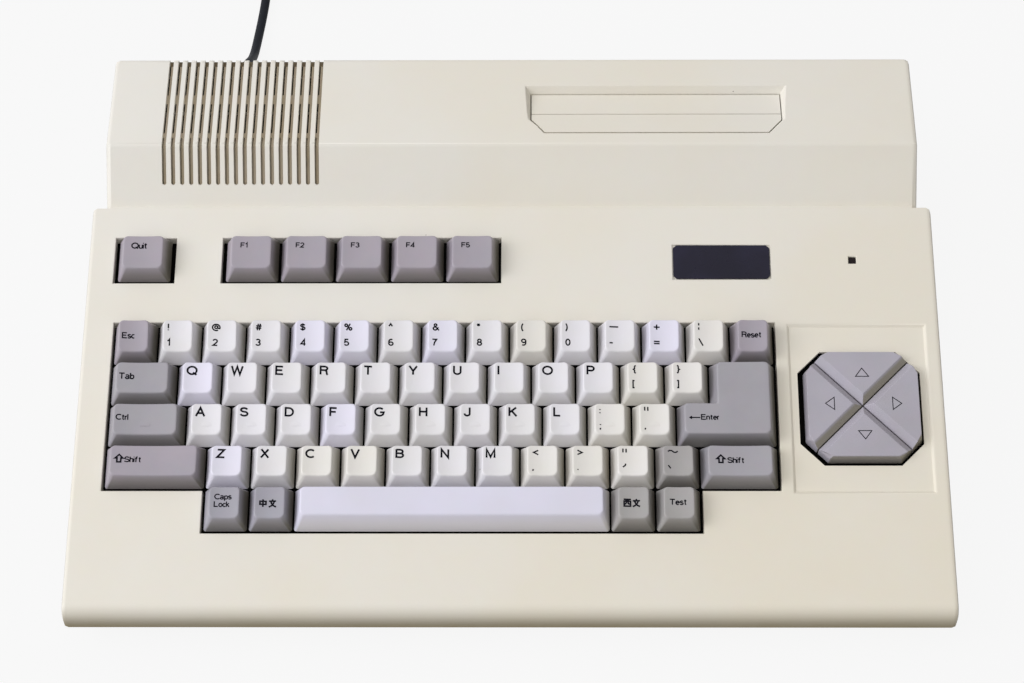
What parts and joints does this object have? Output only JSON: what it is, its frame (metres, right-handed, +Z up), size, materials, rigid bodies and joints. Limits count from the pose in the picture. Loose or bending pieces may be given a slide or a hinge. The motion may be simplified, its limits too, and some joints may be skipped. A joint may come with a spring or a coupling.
{
  "type": "home computer",
  "caption": "Flat cream keyboard computer: sloping deck with light and grey keys, round-cornered cursor pad, raised rear housing with vents and a sprung cartridge slot, mains lead.",
  "frame": {"origin": "on the table, under the middle of the case, with the feet's undersides at Z 0", "axes": "+X to the right of someone typing, +Y to the back, +Z up"},
  "size_m": [0.372, 0.4833, 0.067],
  "materials": {
    "case_plastic": "fine grained moulded ABS, cream",
    "key_white": "smooth moulded ABS, off-white",
    "key_grey": "smooth moulded ABS, mauve grey",
    "badge_plastic": "glossy black plate",
    "lamp_lens": "dark red clear lens",
    "black_plastic": "black moulded plastic",
    "foot_rubber": "matt rubber",
    "lead_pvc": "satin black PVC",
    "zinc_steel": "zinc plated sheet steel",
    "bare_aluminium": "bare satin aluminium",
    "circuit_board": "green solder mask",
    "ribbon_plastic": "grey ribbon cable"
  },
  "bodies": {
    "case": {"upper_case": "case_plastic", "lower_case": "case_plastic", "badge_plate": "badge_plastic", "power_lamp": "lamp_lens", "keyboard_plate": "zinc_steel", "keyboard_board": "circuit_board", "foot_front_left": "foot_rubber", "foot_front_right": "foot_rubber", "foot_rear_left": "foot_rubber", "foot_rear_right": "foot_rubber", "main_board": "circuit_board", "cartridge_connector": "black_plastic", "mains_transformer": "zinc_steel", "heat_sink": "bare_aluminium", "rf_modulator": "bare_aluminium", "av_socket_block": "black_plastic", "printer_socket": "black_plastic", "joystick_socket_1": "black_plastic", "joystick_socket_2": "black_plastic", "power_switch": "black_plastic", "keyboard_ribbon": "ribbon_plastic", "cartridge_guide": "case_plastic", "socket_bay": "case_plastic", "cord_relief": "lead_pvc", "mains_cord": "lead_pvc", "cord_coil": "lead_pvc", "mains_plug": "lead_pvc"},
    "key_space": {"key_space": "key_white"},
    "keys_z_to_n": {"keys_z_to_n": "key_white"},
    "keys_m_to_tilde": {"keys_m_to_tilde": "key_white"},
    "keys_a_to_h": {"keys_a_to_h": "key_white"},
    "keys_j_to_quote": {"keys_j_to_quote": "key_white"},
    "keys_q_to_y": {"keys_q_to_y": "key_white"},
    "keys_u_to_bracket": {"keys_u_to_bracket": "key_white"},
    "keys_1_to_7": {"keys_1_to_7": "key_white"},
    "keys_8_to_backslash": {"keys_8_to_backslash": "key_white"},
    "key_caps_lock": {"key_caps_lock": "key_grey"},
    "key_mode_left": {"key_mode_left": "key_grey"},
    "key_mode_right": {"key_mode_right": "key_grey"},
    "key_test": {"key_test": "key_grey"},
    "key_shift_left": {"key_shift_left": "key_grey"},
    "key_shift_right": {"key_shift_right": "key_grey"},
    "key_control": {"key_control": "key_grey"},
    "key_tab": {"key_tab": "key_grey"},
    "key_escape": {"key_escape": "key_grey"},
    "key_reset": {"key_reset": "key_grey"},
    "key_enter": {"key_enter": "key_grey"},
    "key_quit": {"key_quit": "key_grey"},
    "key_f1": {"key_f1": "key_grey"},
    "key_f2": {"key_f2": "key_grey"},
    "key_f3": {"key_f3": "key_grey"},
    "key_f4": {"key_f4": "key_grey"},
    "key_f5": {"key_f5": "key_grey"},
    "cursor_up": {"cursor_up": "key_grey"},
    "cursor_left": {"cursor_left": "key_grey"},
    "cursor_down": {"cursor_down": "key_grey"},
    "cursor_right": {"cursor_right": "key_grey"},
    "slot_door_rear": {"slot_door_rear": "case_plastic"},
    "slot_door_front": {"slot_door_front": "case_plastic"},
    "power_rocker": {"power_rocker": "black_plastic"}
  },
  "joints": [
    {"name": "key_space_press", "type": "slide", "parent": "case", "child": "key_space", "axis": [0, -0.1478, 0.989], "range_m": [-0.0035, 0], "stiffness_N_per_m": 100, "springref_m": 0.002},
    {"name": "keys_z_to_n_press", "type": "slide", "parent": "case", "child": "keys_z_to_n", "axis": [0, -0.1478, 0.989], "range_m": [-0.0035, 0], "stiffness_N_per_m": 600, "springref_m": 0.002},
    {"name": "keys_m_to_tilde_press", "type": "slide", "parent": "case", "child": "keys_m_to_tilde", "axis": [0, -0.1478, 0.989], "range_m": [-0.0035, 0], "stiffness_N_per_m": 500, "springref_m": 0.002},
    {"name": "keys_a_to_h_press", "type": "slide", "parent": "case", "child": "keys_a_to_h", "axis": [0, -0.1478, 0.989], "range_m": [-0.0035, 0], "stiffness_N_per_m": 600, "springref_m": 0.002},
    {"name": "keys_j_to_quote_press", "type": "slide", "parent": "case", "child": "keys_j_to_quote", "axis": [0, -0.1478, 0.989], "range_m": [-0.0035, 0], "stiffness_N_per_m": 500, "springref_m": 0.002},
    {"name": "keys_q_to_y_press", "type": "slide", "parent": "case", "child": "keys_q_to_y", "axis": [0, -0.1478, 0.989], "range_m": [-0.0035, 0], "stiffness_N_per_m": 600, "springref_m": 0.002},
    {"name": "keys_u_to_bracket_press", "type": "slide", "parent": "case", "child": "keys_u_to_bracket", "axis": [0, -0.1478, 0.989], "range_m": [-0.0035, 0], "stiffness_N_per_m": 600, "springref_m": 0.002},
    {"name": "keys_1_to_7_press", "type": "slide", "parent": "case", "child": "keys_1_to_7", "axis": [0, -0.1478, 0.989], "range_m": [-0.0035, 0], "stiffness_N_per_m": 700, "springref_m": 0.002},
    {"name": "keys_8_to_backslash_press", "type": "slide", "parent": "case", "child": "keys_8_to_backslash", "axis": [0, -0.1478, 0.989], "range_m": [-0.0035, 0], "stiffness_N_per_m": 600, "springref_m": 0.002},
    {"name": "key_caps_lock_press", "type": "slide", "parent": "case", "child": "key_caps_lock", "axis": [0, -0.1478, 0.989], "range_m": [-0.0035, 0], "stiffness_N_per_m": 100, "springref_m": 0.002},
    {"name": "key_mode_left_press", "type": "slide", "parent": "case", "child": "key_mode_left", "axis": [0, -0.1478, 0.989], "range_m": [-0.0035, 0], "stiffness_N_per_m": 100, "springref_m": 0.002},
    {"name": "key_mode_right_press", "type": "slide", "parent": "case", "child": "key_mode_right", "axis": [0, -0.1478, 0.989], "range_m": [-0.0035, 0], "stiffness_N_per_m": 100, "springref_m": 0.002},
    {"name": "key_test_press", "type": "slide", "parent": "case", "child": "key_test", "axis": [0, -0.1478, 0.989], "range_m": [-0.0035, 0], "stiffness_N_per_m": 100, "springref_m": 0.002},
    {"name": "key_shift_left_press", "type": "slide", "parent": "case", "child": "key_shift_left", "axis": [0, -0.1478, 0.989], "range_m": [-0.0035, 0], "stiffness_N_per_m": 100, "springref_m": 0.002},
    {"name": "key_shift_right_press", "type": "slide", "parent": "case", "child": "key_shift_right", "axis": [0, -0.1478, 0.989], "range_m": [-0.0035, 0], "stiffness_N_per_m": 100, "springref_m": 0.002},
    {"name": "key_control_press", "type": "slide", "parent": "case", "child": "key_control", "axis": [0, -0.1478, 0.989], "range_m": [-0.0035, 0], "stiffness_N_per_m": 100, "springref_m": 0.002},
    {"name": "key_tab_press", "type": "slide", "parent": "case", "child": "key_tab", "axis": [0, -0.1478, 0.989], "range_m": [-0.0035, 0], "stiffness_N_per_m": 100, "springref_m": 0.002},
    {"name": "key_escape_press", "type": "slide", "parent": "case", "child": "key_escape", "axis": [0, -0.1478, 0.989], "range_m": [-0.0035, 0], "stiffness_N_per_m": 100, "springref_m": 0.002},
    {"name": "key_reset_press", "type": "slide", "parent": "case", "child": "key_reset", "axis": [0, -0.1478, 0.989], "range_m": [-0.0035, 0], "stiffness_N_per_m": 100, "springref_m": 0.002},
    {"name": "key_enter_press", "type": "slide", "parent": "case", "child": "key_enter", "axis": [0, -0.1478, 0.989], "range_m": [-0.0035, 0], "stiffness_N_per_m": 100, "springref_m": 0.002},
    {"name": "key_quit_press", "type": "slide", "parent": "case", "child": "key_quit", "axis": [0, -0.1478, 0.989], "range_m": [-0.0035, 0], "stiffness_N_per_m": 100, "springref_m": 0.002},
    {"name": "key_f1_press", "type": "slide", "parent": "case", "child": "key_f1", "axis": [0, -0.1478, 0.989], "range_m": [-0.0035, 0], "stiffness_N_per_m": 100, "springref_m": 0.002},
    {"name": "key_f2_press", "type": "slide", "parent": "case", "child": "key_f2", "axis": [0, -0.1478, 0.989], "range_m": [-0.0035, 0], "stiffness_N_per_m": 100, "springref_m": 0.002},
    {"name": "key_f3_press", "type": "slide", "parent": "case", "child": "key_f3", "axis": [0, -0.1478, 0.989], "range_m": [-0.0035, 0], "stiffness_N_per_m": 100, "springref_m": 0.002},
    {"name": "key_f4_press", "type": "slide", "parent": "case", "child": "key_f4", "axis": [0, -0.1478, 0.989], "range_m": [-0.0035, 0], "stiffness_N_per_m": 100, "springref_m": 0.002},
    {"name": "key_f5_press", "type": "slide", "parent": "case", "child": "key_f5", "axis": [0, -0.1478, 0.989], "range_m": [-0.0035, 0], "stiffness_N_per_m": 100, "springref_m": 0.002},
    {"name": "cursor_up_press", "type": "slide", "parent": "case", "child": "cursor_up", "axis": [0, -0.1478, 0.989], "range_m": [-0.002, 0], "stiffness_N_per_m": 150, "springref_m": 0.002},
    {"name": "cursor_left_press", "type": "slide", "parent": "case", "child": "cursor_left", "axis": [0, -0.1478, 0.989], "range_m": [-0.002, 0], "stiffness_N_per_m": 150, "springref_m": 0.002},
    {"name": "cursor_down_press", "type": "slide", "parent": "case", "child": "cursor_down", "axis": [0, -0.1478, 0.989], "range_m": [-0.002, 0], "stiffness_N_per_m": 150, "springref_m": 0.002},
    {"name": "cursor_right_press", "type": "slide", "parent": "case", "child": "cursor_right", "axis": [0, -0.1478, 0.989], "range_m": [-0.002, 0], "stiffness_N_per_m": 150, "springref_m": 0.002},
    {"name": "slot_door_rear_swing", "type": "hinge", "parent": "case", "child": "slot_door_rear", "pos_m": [0.0649, 0.1163, 0.0588], "axis": [1, 0, 0], "range_deg": [0, 82], "stiffness_Nm_per_rad": 0.004, "springref_deg": -20.05},
    {"name": "slot_door_front_swing", "type": "hinge", "parent": "case", "child": "slot_door_front", "pos_m": [0.0649, 0.0825, 0.0623], "axis": [-1, 0, 0], "range_deg": [0, 82], "stiffness_Nm_per_rad": 0.004, "springref_deg": -20.05},
    {"name": "power_rocker_tilt", "type": "hinge", "parent": "case", "child": "power_rocker", "pos_m": [0.142, 0.11767, 0.027], "axis": [1, 0, 0], "range_deg": [-18, 0]}
  ]
}
